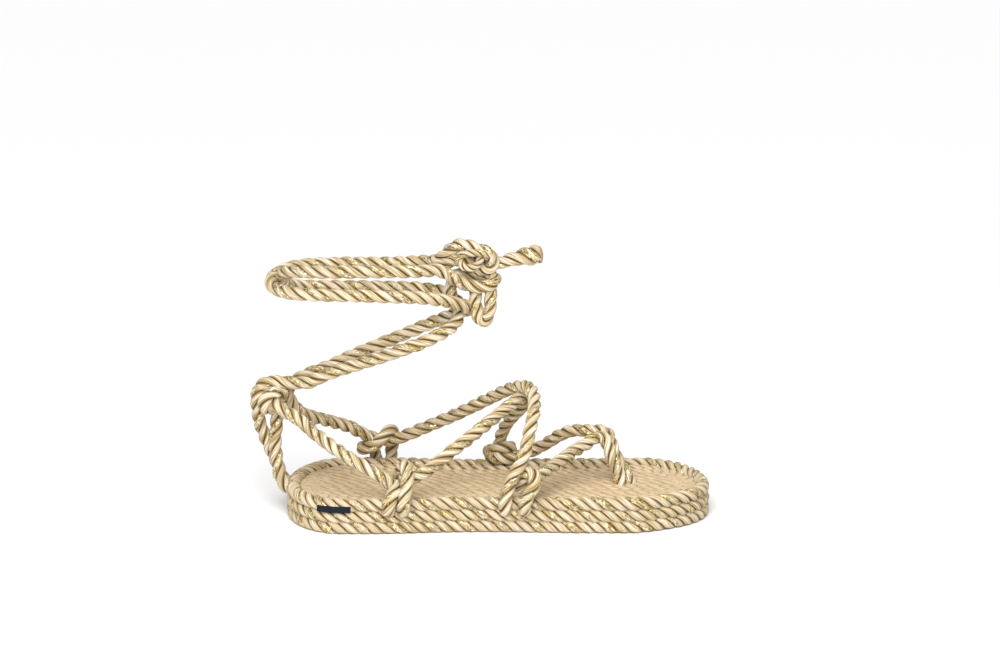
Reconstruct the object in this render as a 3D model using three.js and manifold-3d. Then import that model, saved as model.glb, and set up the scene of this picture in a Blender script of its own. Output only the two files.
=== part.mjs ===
import {
  BufferGeometry,
  CatmullRomCurve3,
  ExtrudeGeometry,
  Float32BufferAttribute,
  Group,
  Mesh,
  MeshStandardMaterial,
  Shape,
  Vector2,
  Vector3,
} from 'three';
import { mergeVertices } from 'three/addons/utils/BufferGeometryUtils.js';
import Module from 'manifold-3d';

const wasm = await Module();
wasm.setup();

// Rope sandal for a right foot: sole of stacked rope rows, thong and instep straps, heel
// straps and a doubled ankle tie. Millimetres, toe towards +X, inner side +Y, floor at z = 0.

// Rope
const ROPE = 7.5;
const ROPE_SIDES = 8;
const PRESS = 0.6;
const CLEARANCE = 0.3;
const STEP_TURN = 0.5;
const STEP_LENGTH = 2.2 * ROPE;
const SLIVER = 1;

// Sole, outside sizes
const SOLE_LENGTH = 260;
const HEEL_WIDTH = 101.5;
const WAIST_WIDTH = 92.5;
const BALL_WIDTH = 97.5;
const HEEL_CURVE = 33;
const TOE_CURVE = 44;
const TOE_SKEW = 3.5;
const HEEL_STATION = -0.66;
const WAIST_STATION = -0.08;
const BALL_STATION = 0.45;
const OUTLINE_STEPS = 30;
const RIM_STEP = 0.002;
const EDGE_STEPS = 2;
const FOOTBED_DROP = 3.6;
const PLUG_DEPTH = 3;

// Straps, heights of rope centres above the rim's centre
const INSTEP_RISE = 62;
const TOE_RISE = 28;
const HEEL_RISE = 56;

// Ankle tie, between rope centres
const ANKLE_HEIGHT = 148;
const ANKLE_LENGTH = 120;
const ANKLE_WIDTH = 50;
const ANKLE_SETBACK = 78;
const KNOT_GAP = 0.2;
const KNOT_LEAD = 0.6 * ROPE;
const EYE_ROPE = 0.55 * ROPE;

// Woven tab in the seam under the rim
const TAB_HEIGHT = 4.6;
const TAB_THICKNESS = 0.8;
const TAB_FROM = -0.85;
const TAB_TO = -0.695;
const TAB_RISE = 1.4;
const TAB_STEPS = 6;

// Worked out from the sizes above
const ROW_PITCH = ROPE - PRESS;
const ROW_HEIGHT = ROW_PITCH - CLEARANCE;
const MIDSOLE_TOP = ROW_PITCH + ROW_HEIGHT;
const FOOTBED_BOTTOM = MIDSOLE_TOP + CLEARANCE;
const RIM_Z = MIDSOLE_TOP + CLEARANCE + ROPE / 2;
const FOOTBED_TOP = RIM_Z + ROPE / 2 - FOOTBED_DROP;
const RIM_END = (SOLE_LENGTH - ROPE) / 2;
const BALL_HALF = (BALL_WIDTH - ROPE) / 2;
const NEAR = -1;
const FAR = 1;

const ease = (t) => (1 - Math.cos(Math.PI * t)) / 2;
const mix = (a, b, t) => a + (b - a) * t;

// Half width between the rim's rope centres, at a share of the half length
function bodyHalfWidth(along) {
  const widths = [HEEL_WIDTH, WAIST_WIDTH, BALL_WIDTH].map((width) => (width - ROPE) / 2);
  if (along <= HEEL_STATION) return widths[0];
  if (along >= BALL_STATION) return widths[2];
  if (along <= WAIST_STATION) {
    const t = (along - HEEL_STATION) / (WAIST_STATION - HEEL_STATION);
    return mix(widths[0], widths[1], ease(t));
  }
  const t = (along - WAIST_STATION) / (BALL_STATION - WAIST_STATION);
  return mix(widths[1], widths[2], ease(t));
}

// Half width with the round heel and toe ends
function rimHalfWidth(along) {
  const x = along * RIM_END;
  const curve = x < 0 ? HEEL_CURVE : TOE_CURVE;
  const t = Math.min(Math.max(0, Math.abs(x) - (RIM_END - curve)) / curve, 1);
  return bodyHalfWidth(along) * Math.sqrt(1 - t * t);
}

// The toe end leans to the inner side
function rimMiddle(along) {
  const t = Math.max(0, (along * RIM_END - (RIM_END - TOE_CURVE)) / TOE_CURVE);
  return TOE_SKEW * Math.sin(Math.PI * Math.min(t, 1));
}

function rimLine() {
  const points = [];
  for (let i = 0; i < 2 * OUTLINE_STEPS; i += 1) {
    const turn = (Math.PI * i) / OUTLINE_STEPS;
    const along = Math.cos(turn);
    const side = i <= OUTLINE_STEPS ? FAR : NEAR;
    points.push(new Vector2(along * RIM_END, rimMiddle(along) + side * rimHalfWidth(along)));
  }
  return points;
}

// Moves a closed counter-clockwise line outwards
function offsetLine(line, outwards) {
  return line.map((point, i) => {
    const before = line[(i + line.length - 1) % line.length];
    const after = line[(i + 1) % line.length];
    const along = after.clone().sub(before).normalize();
    return new Vector2(point.x + along.y * outwards, point.y - along.x * outwards);
  });
}

// Solids
function toSolid(geometry) {
  const bare = geometry.clone();
  bare.deleteAttribute('normal');
  bare.deleteAttribute('uv');
  const merged = mergeVertices(bare);
  return new wasm.Manifold(new wasm.Mesh({
    numProp: 3,
    vertProperties: new Float32Array(merged.attributes.position.array),
    triVerts: new Uint32Array(merged.index.array),
  }));
}

function toGeometry(solid) {
  const mesh = solid.getMesh();
  const geometry = new BufferGeometry();
  geometry.setAttribute('position', new Float32BufferAttribute(mesh.vertProperties, 3));
  geometry.setIndex(Array.from(mesh.triVerts));
  geometry.computeVertexNormals();
  return geometry;
}

// Joins solids, without the slivers that are left where two surfaces nearly coincide
function join(solids) {
  const add = (whole, next) => whole.add(next);
  const bodies = solids.reduce(add).decompose();
  return bodies.filter((body) => body.volume() > SLIVER).reduce(add);
}

// A route through hand-set points, with its steps close together where it bends
class Route extends CatmullRomCurve3 {
  constructor(points) {
    super(points);
    const spans = points.length - 1;
    this.stations = [0];
    for (let i = 0; i < spans; i += 1) {
      const turn = this.getTangent(i / spans).angleTo(this.getTangent((i + 1) / spans));
      const length = points[i].distanceTo(points[i + 1]);
      const steps = Math.max(1, Math.ceil(turn / STEP_TURN), Math.ceil(length / STEP_LENGTH));
      for (let k = 1; k <= steps; k += 1) {
        this.stations.push((i + k / steps) / spans);
      }
    }
  }

  station(u) {
    return this.stations[Math.round(u * (this.stations.length - 1))];
  }

  getPointAt(u, target) {
    return this.getPoint(this.station(u), target);
  }

  getTangentAt(u, target) {
    return this.getTangent(this.station(u), target);
  }
}

function sweep(section, points) {
  const route = new Route(points);
  return new ExtrudeGeometry(new Shape(section), {
    extrudePath: route,
    steps: route.stations.length - 1,
  });
}

function ropeSection(diameter) {
  return Array.from({ length: ROPE_SIDES }, (_, i) => {
    const turn = (2 * Math.PI * i) / ROPE_SIDES;
    return new Vector2(Math.cos(turn), Math.sin(turn)).multiplyScalar(diameter / 2);
  });
}

const rope = (points, diameter = ROPE) => toSolid(sweep(ropeSection(diameter), points));

// Room for a rope, with the clearance all round and past both ends
function ropeSlot(points) {
  const reach = (end, before) => end.clone().add(end.clone().sub(before).setLength(CLEARANCE));
  const first = reach(points[0], points[1]);
  const last = reach(points.at(-1), points.at(-2));
  return rope([first, ...points.slice(1, -1), last], ROPE + 2 * CLEARANCE);
}

// One pressed rope row across the whole sole, with a round edge
function soleRow(bottom) {
  const round = ROW_HEIGHT / 2 - CLEARANCE;
  const row = new ExtrudeGeometry(new Shape(offsetLine(rimLine(), ROPE / 2)), {
    depth: ROW_HEIGHT - 2 * round,
    bevelThickness: round,
    bevelSize: round,
    bevelOffset: -round,
    bevelSegments: EDGE_STEPS,
    curveSegments: 1,
  });
  return toSolid(row.translate(0, 0, bottom + round));
}

// A rope laid in a closed ring along the rim
function rimRing() {
  const line = rimLine();
  const rings = [];
  for (const { x: across, y: up } of ropeSection(ROPE)) {
    rings.push(offsetLine(line, across).map((point) => [point.x, point.y, RIM_Z + up]));
  }
  const index = [];
  const count = line.length;
  rings.forEach((ring, i) => {
    const next = ((i + 1) % rings.length) * count;
    ring.forEach((_, j) => {
      const k = (j + 1) % count;
      index.push(i * count + j, i * count + k, next + j);
      index.push(i * count + k, next + k, next + j);
    });
  });
  const geometry = new BufferGeometry();
  geometry.setAttribute('position', new Float32BufferAttribute(rings.flat(2), 3));
  geometry.setIndex(index);
  return toSolid(geometry);
}

function footbedPlate() {
  const edge = offsetLine(rimLine(), -(ROPE / 2 + CLEARANCE));
  const plate = new ExtrudeGeometry(new Shape(edge), {
    depth: FOOTBED_TOP - FOOTBED_BOTTOM,
    bevelEnabled: false,
    curveSegments: 1,
  });
  return toSolid(plate.translate(0, 0, FOOTBED_BOTTOM));
}

// Places on the shoe

// Share of the half length, then rope diameters out from the rim and up from its centre
function byRim(side, along, out, up) {
  const at = (share) => new Vector2(
    share * RIM_END,
    rimMiddle(share) + side * rimHalfWidth(share),
  );
  const run = at(along + RIM_STEP).sub(at(along - RIM_STEP)).normalize();
  const place = at(along).addScaledVector(new Vector2(-run.y, run.x), side * out * ROPE);
  return new Vector3(place.x, place.y, RIM_Z + up * ROPE);
}

// Shares of the half length, of the ball's half width and of a rise above the rim
function over(riseHeight, along, across, rise) {
  return new Vector3(along * RIM_END, across * BALL_HALF, RIM_Z + rise * riseHeight);
}

const overInstep = (along, across, rise) => over(INSTEP_RISE, along, across, rise);
const overToes = (along, across, rise) => over(TOE_RISE, along, across, rise);
const overHeel = (along, across, rise) => over(HEEL_RISE, along, across, rise);

// Rope diameters from the middle of the heel knot
function inHeelKnot(x, y, z) {
  return new Vector3(x, y, z).multiplyScalar(ROPE).add(overHeel(-1.11, 0, 1));
}

// Shares of the ankle ring's half length and half width, and rope diameters up
function onAnkle(along, across, up) {
  return new Vector3(
    along * (ANKLE_LENGTH / 2) - ANKLE_SETBACK,
    across * (ANKLE_WIDTH / 2),
    ANKLE_HEIGHT + up * ROPE,
  );
}

// Rope diameters from the middle of the ankle knot
const inAnkleKnot = (x, y, z) => new Vector3(x, y, z).multiplyScalar(ROPE).add(onAnkle(1, 0, 0));

// Shares of the way from the heel knot's top up to the ankle ring's front
function onTie(way, across, rise) {
  const from = inHeelKnot(2.6, 0, 1.45);
  const to = onAnkle(1, 0, -3);
  return new Vector3(
    mix(from.x, to.x, way),
    across * (ANKLE_WIDTH / 2),
    mix(from.z, to.z, rise),
  );
}

// Ends of the strap legs, tucked under the rim
const tuckedLeg = (side, along) => [
  byRim(side, along, 1.06, 0.3),
  byRim(side, along, 0.92, -0.2),
  byRim(side, along, 0.5, -0.5),
  byRim(side, along, 0, -0.6),
];

// Pairs of legs: share of the half length at their middle, and rope diameters between them
const LEG_PAIRS = {
  fore: { side: NEAR, along: 0.082, apart: 1.55 },
  middle: { side: NEAR, along: -0.49, apart: 1.18 },
  farFore: { side: FAR, along: 0.005, apart: 1.35 },
  farMiddle: { side: FAR, along: -0.578, apart: 1.1 },
};
const legs = {};
for (const [name, { side, along, apart }] of Object.entries(LEG_PAIRS)) {
  const half = (apart * ROPE) / 2 / RIM_END;
  legs[`${name}Left`] = tuckedLeg(side, along - half);
  legs[`${name}Right`] = tuckedLeg(side, along + half);
}

const heelLeg = (across) => [
  byHeel(1.12, across, 0.75),
  byHeel(0.72, across, 0.02),
  byHeel(0.1, across, -0.42),
  byHeel(-0.55, across, -0.55),
];

// Rope diameters back from the heel's tip, across, and up from the rim's centre
function byHeel(back, across, up) {
  return new Vector3(-RIM_END - back * ROPE, across * ROPE, RIM_Z + up * ROPE);
}

const heelLegs = [heelLeg(-0.5), heelLeg(0.62)];

// Toe post: two twisted legs that go down through the footbed
const POST_FOOT = FOOTBED_TOP - PLUG_DEPTH;
function byPost(along, across, height) {
  return new Vector3(
    along * RIM_END,
    across * ROPE,
    mix(POST_FOOT, RIM_Z + TOE_RISE, height),
  );
}

const postLegs = [
  [
    byPost(0.606, 0.0, 0),
    byPost(0.6, 0.0, 0.17),
    byPost(0.584, 0.15, 0.38),
    byPost(0.558, 0.45, 0.62),
    byPost(0.538, 0.85, 0.84),
  ],
  [
    byPost(0.652, 0.35, 0),
    byPost(0.645, 0.45, 0.17),
    byPost(0.61, 0.85, 0.38),
    byPost(0.576, 1.15, 0.62),
    byPost(0.556, 1.35, 0.84),
  ],
];

// Straps over the toes: each goes from the post's head to one side of the rim
const nearThong = [
  ...postLegs[0].slice(-2),
  byPost(0.522, 1.15, 0.985),
  overToes(0.487, 0.22, 1),
  overToes(0.45, 0.1, 0.92),
  overToes(0.4, 0, 0.83),
  overToes(0.35, -0.18, 0.77),
  overToes(0.3, -0.38, 0.68),
  overToes(0.25, -0.56, 0.62),
  byRim(NEAR, 0.2, -1.1, 2.1),
  byRim(NEAR, 0.178, -0.35, 1.95),
  byRim(NEAR, 0.162, 0.4, 1.8),
];

const farThong = [
  ...postLegs[1].slice(-2),
  byPost(0.545, 1.75, 1.03),
  overToes(0.505, 0.38, 1.06),
  overToes(0.455, 0.44, 1.03),
  overToes(0.405, 0.53, 1.01),
  overToes(0.357, 0.62, 0.95),
  overToes(0.308, 0.71, 0.82),
  overToes(0.259, 0.8, 0.64),
  byRim(FAR, 0.2, -0.4, 1.6),
  byRim(FAR, 0.13, -0.5, 1.15),
  byRim(FAR, 0.07, -0.85, 0.9),
  byRim(FAR, 0.015, -0.95, 0.85),
  byRim(FAR, -0.032, -0.75, 1.1),
  byRim(FAR, -0.05, -0.15, 1.35),
  byRim(FAR, -0.035, 0.72, 1.2),
  ...legs.farForeLeft,
];

// Rope that wraps the far front knot and then runs down outside the rim
const farForeWrap = [
  byRim(FAR, -0.035, -0.2, 1.15),
  byRim(FAR, -0.025, -0.7, 1.6),
  byRim(FAR, 0.012, -0.92, 1.9),
  byRim(FAR, 0.05, -0.8, 1.8),
  byRim(FAR, 0.068, -0.25, 1.6),
  byRim(FAR, 0.058, 0.45, 1.55),
  byRim(FAR, 0.045, 0.95, 1.15),
  ...legs.farForeRight,
];

// Instep rope that lies on top where the two cross
const upperInstep = [
  ...legs.foreLeft.toReversed(),
  byRim(NEAR, 0.04, 1.06, 0.9),
  byRim(NEAR, 0.052, 0.98, 1.5),
  byRim(NEAR, 0.072, 0.72, 2.35),
  byRim(NEAR, 0.104, 0.42, 3.2),
  overInstep(0.132, -0.96, 0.53),
  overInstep(0.153, -0.84, 0.72),
  overInstep(0.172, -0.68, 0.85),
  overInstep(0.176, -0.44, 0.95),
  overInstep(0.156, -0.18, 1.01),
  overInstep(0.117, 0.1, 0.985),
  overInstep(0.06, 0.27, 0.93),
  overInstep(-0.04, 0.51, 0.79),
  overInstep(-0.14, 0.71, 0.65),
  overInstep(-0.24, 0.845, 0.53),
  overInstep(-0.34, 0.93, 0.43),
  overInstep(-0.44, 0.975, 0.33),
  byRim(FAR, -0.53, -0.1, 2.15),
  byRim(FAR, -0.59, -0.15, 2.1),
  byRim(FAR, -0.64, -0.35, 2.45),
  overHeel(-0.69, 0.91, 0.4),
  overHeel(-0.738, 0.82, 0.48),
  overHeel(-0.83, 0.62, 0.585),
  overHeel(-0.92, 0.38, 0.69),
  overHeel(-0.97, 0.22, 0.77),
  inHeelKnot(1.8, 0.85, -0.95),
  inHeelKnot(1.45, 0.55, -0.2),
  inHeelKnot(1.25, 0, 0.45),
  inHeelKnot(0.8, -0.65, 0.65),
  inHeelKnot(0.15, -1.05, 0.55),
  inHeelKnot(-0.35, -1.15, 0.05),
  inHeelKnot(-0.45, -1.05, -0.6),
  inHeelKnot(-0.15, -0.5, -1.05),
  inHeelKnot(0.3, 0.15, -0.95),
  inHeelKnot(0.4, 0.3, -0.2),
];

// Instep rope that lies underneath
const lowerInstep = [
  byRim(NEAR, -0.47, -0.35, 1.85),
  byRim(NEAR, -0.42, -0.45, 1.95),
  overInstep(-0.326, -0.84, 0.32),
  overInstep(-0.23, -0.69, 0.46),
  overInstep(-0.135, -0.49, 0.573),
  overInstep(-0.04, -0.24, 0.69),
  overInstep(0.058, 0, 0.807),
  overInstep(0.108, 0.11, 0.868),
  overInstep(0.138, 0.24, 0.83),
  overInstep(0.125, 0.38, 0.735),
  overInstep(0.084, 0.53, 0.626),
  overInstep(0.035, 0.755, 0.45),
  overInstep(0.01, 0.87, 0.3),
  byRim(FAR, 0, -0.15, 1.3),
];

// Short wrap that holds the toe strap at the near side
const foreWrap = [
  byRim(NEAR, 0.1, -0.5, 1.1),
  byRim(NEAR, 0.112, -0.2, 1.75),
  byRim(NEAR, 0.13, 0.15, 2.4),
  byRim(NEAR, 0.152, 0.5, 2.8),
  byRim(NEAR, 0.176, 0.85, 2.7),
  byRim(NEAR, 0.184, 1.1, 2.15),
  byRim(NEAR, 0.168, 1.14, 1.5),
  byRim(NEAR, 0.144, 1.1, 0.85),
  ...legs.foreRight,
];

// Short wrap that holds the side straps at the near side
const middleWrap = [
  byRim(NEAR, -0.472, -1.45, 0.85),
  byRim(NEAR, -0.47, -1.55, 1.7),
  byRim(NEAR, -0.458, -1.3, 2.6),
  byRim(NEAR, -0.44, -0.6, 3.12),
  byRim(NEAR, -0.432, 0.15, 2.95),
  byRim(NEAR, -0.432, 0.62, 2.3),
  byRim(NEAR, -0.44, 0.88, 1.5),
  byRim(NEAR, -0.45, 1.04, 0.85),
  ...legs.middleRight,
];

// Hitch over the straps at the far side, with a bight to the heel
const farMiddleHitch = [
  ...legs.farMiddleRight.toReversed(),
  byRim(FAR, -0.54, 1.06, 1.0),
  byRim(FAR, -0.53, 0.85, 2.1),
  byRim(FAR, -0.532, 0.1, 3.02),
  byRim(FAR, -0.562, -0.7, 2.75),
  byRim(FAR, -0.605, -0.98, 2.0),
  byRim(FAR, -0.655, -0.75, 1.55),
  byRim(FAR, -0.69, -0.2, 1.42),
  byRim(FAR, -0.67, 0.5, 1.35),
  byRim(FAR, -0.63, 1.0, 0.95),
  ...legs.farMiddleLeft,
];

// Near side strap from the heel knot, turned down at the rim
const nearHeelStrap = [
  inHeelKnot(0.1, -0.1, 0.4),
  inHeelKnot(0.25, -0.5, -0.1),
  inHeelKnot(0.6, -0.85, -0.65),
  inHeelKnot(1.25, -1.05, -1.0),
  overHeel(-0.958, -0.3, 0.79),
  overHeel(-0.907, -0.42, 0.71),
  overHeel(-0.807, -0.64, 0.58),
  overHeel(-0.708, -0.82, 0.47),
  overHeel(-0.611, -0.91, 0.36),
  overHeel(-0.548, -0.94, 0.28),
  byRim(NEAR, -0.495, -0.1, 1.5),
  byRim(NEAR, -0.482, 0.55, 1.4),
  byRim(NEAR, -0.505, 0.98, 1.15),
  ...legs.middleLeft,
];

// Risers from the heel seam, through the knot and on to the ankle
const innerRiser = [
  ...heelLegs[0].toReversed(),
  byHeel(1.28, -0.35, 1.6),
  byHeel(1.42, -0.2, 2.7),
  byHeel(1.5, -0.05, 3.9),
  byHeel(1.3, 0.1, 5.4),
  inHeelKnot(0.65, 0.45, -0.9),
  inHeelKnot(1.3, 0.6, 0.1),
  inHeelKnot(1.8, 0.55, 1.05),
  inHeelKnot(2.6, 0.48, 1.5),
];

const outerRiser = [
  ...heelLegs[1].toReversed(),
  byHeel(1.4, 0.65, 1.6),
  byHeel(1.95, 0.6, 2.9),
  byHeel(2.4, 0.45, 4.1),
  byHeel(2.8, 0.15, 5.4),
  inHeelKnot(-1.0, -0.15, -1.1),
  inHeelKnot(-1.1, -0.35, -0.1),
  inHeelKnot(-0.92, -0.5, 0.75),
  inHeelKnot(-0.4, -0.6, 1.25),
  inHeelKnot(0.35, -0.62, 1.42),
  inHeelKnot(1.3, -0.58, 1.28),
  inHeelKnot(2.6, -0.52, 1.25),
];

// Goes on from the end of another route, with a gap between the two ends
function carryOn(before, after) {
  const [last, end] = before.slice(-2);
  const ahead = end.clone().sub(last).normalize();
  return [
    end.clone().addScaledVector(ahead, CLEARANCE + KNOT_GAP),
    end.clone().addScaledVector(ahead, KNOT_LEAD),
    ...after,
  ];
}

// The rope from the far tie turns round the front and back along the near side
const farTie = carryOn(innerRiser, [
  onTie(0.14, 0.2, 0.14),
  onTie(0.32, 0.34, 0.33),
  onTie(0.5, 0.56, 0.49),
  onTie(0.62, 0.66, 0.6),
  onTie(0.74, 0.68, 0.73),
  onTie(0.86, 0.48, 0.88),
  onTie(0.95, 0.26, 1.0),
  onAnkle(1.005, 0.02, -2.72),
  onAnkle(0.985, -0.2, -2.28),
  onAnkle(0.87, -0.4, -1.85),
  onAnkle(0.72, -0.62, -1.45),
  onAnkle(0.47, -0.88, -1.05),
  onAnkle(0.1, -1, -0.85),
  onAnkle(-0.3, -1.03, -0.75),
  onAnkle(-0.66, -0.94, -0.73),
  onAnkle(-0.84, -0.74, -0.7),
  onAnkle(-0.96, -0.42, -0.58),
  onAnkle(-1, -0.02, -0.3),
  onAnkle(-0.965, 0.38, 0.05),
  onAnkle(-0.85, 0.72, 0.3),
  onAnkle(-0.66, 0.94, 0.42),
  onAnkle(-0.3, 1.03, 0.47),
  onAnkle(0.1, 1, 0.5),
  onAnkle(0.42, 0.84, 0.72),
  onAnkle(0.58, 0.66, 0.9),
]);

// The rope from the near tie crosses inside it and goes round the other way
const nearTie = carryOn(outerRiser, [
  onTie(0.15, -0.24, 0.1),
  onTie(0.32, -0.36, 0.26),
  onTie(0.5, -0.58, 0.43),
  onTie(0.62, -0.68, 0.55),
  onTie(0.74, -0.68, 0.66),
  onTie(0.86, -0.42, 0.78),
  onTie(0.93, -0.08, 0.88),
  onAnkle(0.915, 0.22, -2.65),
  onAnkle(0.87, 0.4, -2.05),
  onAnkle(0.72, 0.62, -1.6),
  onAnkle(0.47, 0.88, -1.5),
  onAnkle(0.1, 1, -1.5),
  onAnkle(-0.3, 1.03, -1.48),
  onAnkle(-0.6, 0.9, -1.38),
  onAnkle(-0.77, 0.64, -1.15),
  onAnkle(-0.865, 0.32, -0.62),
  onAnkle(-0.89, -0.04, 0.1),
  onAnkle(-0.845, -0.42, 0.72),
  onAnkle(-0.72, -0.74, 1.0),
  onAnkle(-0.5, -0.97, 1.1),
  onAnkle(-0.15, -1.03, 1.15),
  onAnkle(0.2, -0.98, 1.15),
  onAnkle(0.5, -0.76, 1.0),
  onAnkle(0.63, -0.58, 0.98),
]);

// Over the top of the ankle knot, down its toe side and back through the middle
const knotArch = carryOn(farTie, [
  inAnkleKnot(-2.35, 0.8, 1.3),
  inAnkleKnot(-1.75, 0.35, 1.95),
  inAnkleKnot(-1.1, -0.05, 2.6),
  inAnkleKnot(-0.5, -0.35, 2.83),
  inAnkleKnot(0.1, -0.5, 2.68),
  inAnkleKnot(0.7, -0.55, 2.4),
  inAnkleKnot(1.35, -0.6, 2.32),
  inAnkleKnot(1.92, -0.55, 1.9),
  inAnkleKnot(2.05, -0.4, 1.2),
  inAnkleKnot(1.6, -0.3, 0.6),
  inAnkleKnot(0.85, -0.35, 0.8),
  inAnkleKnot(0.1, -0.45, 1.2),
  inAnkleKnot(-0.55, -0.4, 1.5),
  inAnkleKnot(-1.15, -0.2, 1.6),
  inAnkleKnot(-1.7, 0.1, 1.25),
  inAnkleKnot(-2.1, 0.4, 0.85),
]);

// Down across the front, turned back at the toe side
const knotBend = carryOn(nearTie, [
  inAnkleKnot(-1.95, -1.35, 0.7),
  inAnkleKnot(-1.2, -1.1, 0.15),
  inAnkleKnot(-0.42, -0.98, -0.32),
  inAnkleKnot(0.46, -1.0, -0.55),
  inAnkleKnot(1.4, -0.95, -0.58),
  inAnkleKnot(2.1, -0.7, -0.32),
  inAnkleKnot(2.25, -0.25, 0.05),
  inAnkleKnot(1.85, 0.15, 0.25),
  inAnkleKnot(0.95, 0.3, 0.1),
  inAnkleKnot(-0.1, 0.25, 0.25),
  inAnkleKnot(-0.95, 0.25, 0.3),
  inAnkleKnot(-1.4, 0.3, -0.3),
  inAnkleKnot(-1.45, 0.3, -1.0),
  inAnkleKnot(-1.4, 0.2, -1.7),
]);

// A small eye of one strand that faces outwards
const knotEye = [
  inAnkleKnot(1.85, -0.75, 1.9),
  inAnkleKnot(1.25, -1.05, 2.2),
  inAnkleKnot(0.5, -1.25, 2.3),
  inAnkleKnot(-0.3, -1.3, 2.25),
  inAnkleKnot(-0.8, -1.33, 1.95),
  inAnkleKnot(-0.82, -1.36, 1.5),
  inAnkleKnot(-0.45, -1.4, 1.12),
  inAnkleKnot(0.15, -1.4, 1.0),
  inAnkleKnot(0.7, -1.3, 1.15),
  inAnkleKnot(1.02, -1.1, 1.5),
  inAnkleKnot(1.0, -0.75, 1.85),
];

const hangingLoop = [
  inAnkleKnot(0.66, -0.4, -0.6),
  inAnkleKnot(0.54, -0.52, -1.2),
  inAnkleKnot(0.57, -0.65, -1.9),
  inAnkleKnot(0.66, -0.8, -2.6),
  inAnkleKnot(0.84, -0.92, -3.25),
  inAnkleKnot(1.18, -0.92, -3.66),
  inAnkleKnot(1.52, -0.82, -3.25),
  inAnkleKnot(1.72, -0.68, -2.6),
  inAnkleKnot(1.81, -0.6, -1.9),
  inAnkleKnot(1.82, -0.52, -1.2),
  inAnkleKnot(1.7, -0.4, -0.6),
];

// Free end of the tie, sealed and cut straight
const tieEnd = [
  inAnkleKnot(1.5, 0.35, 0.9),
  inAnkleKnot(2.35, 0.1, 1.15),
  inAnkleKnot(3.2, -0.05, 1.4),
  inAnkleKnot(4.2, -0.15, 1.68),
  inAnkleKnot(5.1, -0.2, 1.86),
  inAnkleKnot(5.9, -0.25, 1.94),
];

// Tab that lies on the rim's outer side, at the near side of the heel
function tabRoute() {
  const out = (ROPE / 2 + CLEARANCE + TAB_THICKNESS / 2) / ROPE;
  const up = (MIDSOLE_TOP + TAB_RISE - RIM_Z) / ROPE;
  return Array.from({ length: TAB_STEPS + 1 }, (_, i) => (
    byRim(NEAR, mix(TAB_FROM, TAB_TO, i / TAB_STEPS), out, up)
  ));
}

const tabSection = [
  new Vector2(-TAB_HEIGHT / 2, -TAB_THICKNESS / 2),
  new Vector2(TAB_HEIGHT / 2, -TAB_THICKNESS / 2),
  new Vector2(TAB_HEIGHT / 2, TAB_THICKNESS / 2),
  new Vector2(-TAB_HEIGHT / 2, TAB_THICKNESS / 2),
];

const paint = (colour, roughness) => new MeshStandardMaterial({
  color: colour,
  roughness,
  metalness: 0,
});
const ROPE_PAINT = paint(0xd8c7a4, 0.6);
const EDGE_PAINT = paint(0xcfb990, 0.65);
const FOOTBED_PAINT = paint(0xc9a67a, 0.85);
const TAB_PAINT = paint(0x15171a, 0.8);

const sandal = new Group();
function addNode(name, solid, material) {
  const mesh = new Mesh(toGeometry(solid), material);
  mesh.name = name;
  sandal.add(mesh);
}

const upperRoutes = [
  ...postLegs,
  nearThong,
  farThong,
  farForeWrap,
  upperInstep,
  lowerInstep,
  foreWrap,
  middleWrap,
  farMiddleHitch,
  nearHeelStrap,
  innerRiser,
  outerRiser,
];
const upperSlots = join(upperRoutes.map(ropeSlot));

addNode('outsole', soleRow(0), EDGE_PAINT);
addNode('midsole', soleRow(ROW_PITCH).subtract(upperSlots), EDGE_PAINT);
addNode('footbed', footbedPlate().subtract(upperSlots), FOOTBED_PAINT);
addNode('rim_rope', rimRing().subtract(upperSlots), EDGE_PAINT);
addNode('upper', join(upperRoutes.map((points) => rope(points))), ROPE_PAINT);
addNode('label_tab', toSolid(sweep(tabSection, tabRoute())), TAB_PAINT);

const tieRoutes = [farTie, nearTie];
const knotRoutes = [knotArch, knotBend];
const riserSlots = join([innerRiser, outerRiser].map(ropeSlot));
const tieSlots = join(tieRoutes.map(ropeSlot));
const knotSlots = join(knotRoutes.map(ropeSlot));

addNode(
  'ankle_strap',
  join(tieRoutes.map((points) => rope(points))).subtract(riserSlots),
  ROPE_PAINT,
);
addNode(
  'ankle_knot',
  join([...knotRoutes.map((points) => rope(points)), rope(knotEye, EYE_ROPE)]).subtract(tieSlots),
  ROPE_PAINT,
);
addNode('knot_loop', rope(hangingLoop).subtract(knotSlots).subtract(tieSlots), ROPE_PAINT);
addNode('tie_end', rope(tieEnd).subtract(knotSlots), ROPE_PAINT);

export default sandal;
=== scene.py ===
import math

import bpy
import numpy as np
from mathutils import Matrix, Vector


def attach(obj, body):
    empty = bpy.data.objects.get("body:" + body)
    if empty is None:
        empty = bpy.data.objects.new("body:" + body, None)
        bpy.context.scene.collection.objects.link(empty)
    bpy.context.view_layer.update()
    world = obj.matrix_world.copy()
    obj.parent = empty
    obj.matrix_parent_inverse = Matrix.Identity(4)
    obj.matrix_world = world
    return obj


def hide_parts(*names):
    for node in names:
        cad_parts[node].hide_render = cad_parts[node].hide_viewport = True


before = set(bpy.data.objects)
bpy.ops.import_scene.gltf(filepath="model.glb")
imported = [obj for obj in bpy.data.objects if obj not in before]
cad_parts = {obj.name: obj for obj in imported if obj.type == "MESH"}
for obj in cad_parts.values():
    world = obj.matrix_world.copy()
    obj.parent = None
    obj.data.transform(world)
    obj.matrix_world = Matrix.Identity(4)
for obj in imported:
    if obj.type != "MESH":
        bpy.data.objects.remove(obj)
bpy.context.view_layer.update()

# Rope sandal for a right foot. Metres, toe towards +X, inner side +Y, floor at z = 0.

MM = 0.001
BODY = "root"
NEAR = -1
FAR = 1

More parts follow.
